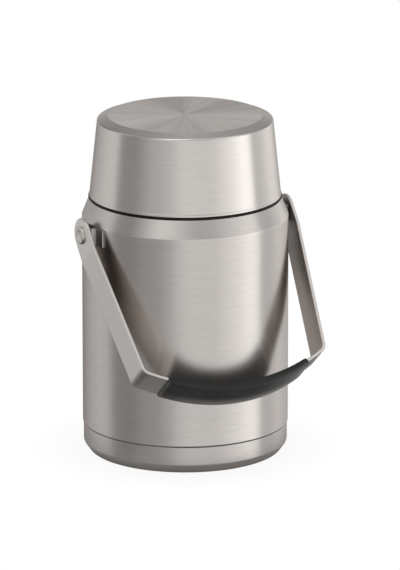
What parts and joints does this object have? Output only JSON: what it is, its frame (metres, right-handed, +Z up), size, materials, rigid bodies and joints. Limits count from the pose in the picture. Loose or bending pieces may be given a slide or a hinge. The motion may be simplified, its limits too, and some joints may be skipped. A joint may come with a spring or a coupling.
{
  "type": "insulated food jar",
  "caption": "Vacuum-insulated steel food jar with a hinged bail and rubber grip, a screw stopper, a double-wall bowl as its lid and stacked food containers inside.",
  "frame": {"origin": "centre of the ring that the jar stands on, on the jar's axis", "axes": "+Z up along the jar's axis, X along the bail's pivots, the bail rests on the -Y side, which is the front"},
  "size_m": [0.147, 0.1502, 0.2159],
  "materials": {
    "body_steel": "fine satin brushing round the axis",
    "inner_steel": "plain polished",
    "bail_steel": "bead-blasted satin",
    "grip_rubber": "satin",
    "black_plastic": "fine matte",
    "seal_silicone": "smooth",
    "foam": "open cell",
    "washer_nylon": "smooth",
    "container_plastic": "satin",
    "container_lid_plastic": "satin"
  },
  "bodies": {
    "jar": {"outer_shell": "body_steel", "shell_bottom": "inner_steel", "evacuation_seal": "inner_steel", "getter": "inner_steel", "inner_liner": "inner_steel", "base_cup": "body_steel", "bracket_left": "bail_steel", "bracket_right": "bail_steel", "rivet_left": "bail_steel", "rivet_right": "bail_steel", "friction_washer_left": "washer_nylon", "friction_washer_right": "washer_nylon", "backing_washer_left": "inner_steel", "backing_washer_right": "inner_steel"},
    "bail": {"bail": "bail_steel", "grip": "grip_rubber"},
    "lower_container": {"lower_container": "container_plastic"},
    "lower_container_lid": {"lower_container_lid": "container_lid_plastic"},
    "upper_container": {"upper_container": "container_plastic"},
    "upper_container_lid": {"upper_container_lid": "container_lid_plastic"},
    "stopper_gasket": {"stopper_gasket": "seal_silicone"},
    "stopper": {"stopper_body": "black_plastic", "stopper_cover": "black_plastic", "stopper_foam": "foam"},
    "lid_seal": {"lid_seal": "seal_silicone"},
    "lid": {"lid_shell": "body_steel", "lid_bowl": "inner_steel"}
  },
  "joints": [
    {"name": "bail_swing", "type": "hinge", "parent": "jar", "child": "bail", "pos_m": [0, 0, 0.146], "axis": [-1, 0, 0], "range_deg": [0, 281.08]},
    {"name": "lower_container_lift", "type": "slide", "parent": "jar", "child": "lower_container", "axis": [0, 0, 1], "range_m": [0, 0.17]},
    {"name": "lower_lid_lift", "type": "slide", "parent": "lower_container", "child": "lower_container_lid", "axis": [0, 0, 1], "range_m": [0, 0.02]},
    {"name": "upper_container_lift", "type": "slide", "parent": "lower_container_lid", "child": "upper_container", "axis": [0, 0, 1], "range_m": [0, 0.1]},
    {"name": "upper_lid_lift", "type": "slide", "parent": "upper_container", "child": "upper_container_lid", "axis": [0, 0, 1], "range_m": [0, 0.02]},
    {"name": "stopper_lift", "type": "slide", "parent": "upper_container_lid", "child": "stopper_gasket", "axis": [0, 0, 1], "range_m": [0, 0.04]},
    {"name": "stopper_turn", "type": "hinge", "parent": "stopper_gasket", "child": "stopper", "pos_m": [0, 0, 0.1786], "axis": [0, 0, 1], "range_deg": [0, 360]},
    {"name": "lid_lift", "type": "slide", "parent": "stopper", "child": "lid_seal", "axis": [0, 0, 1], "range_m": [0, 0.06]},
    {"name": "lid_turn", "type": "hinge", "parent": "lid_seal", "child": "lid", "pos_m": [0, 0, 0.1648], "axis": [0, 0, 1], "range_deg": [0, 450]}
  ]
}
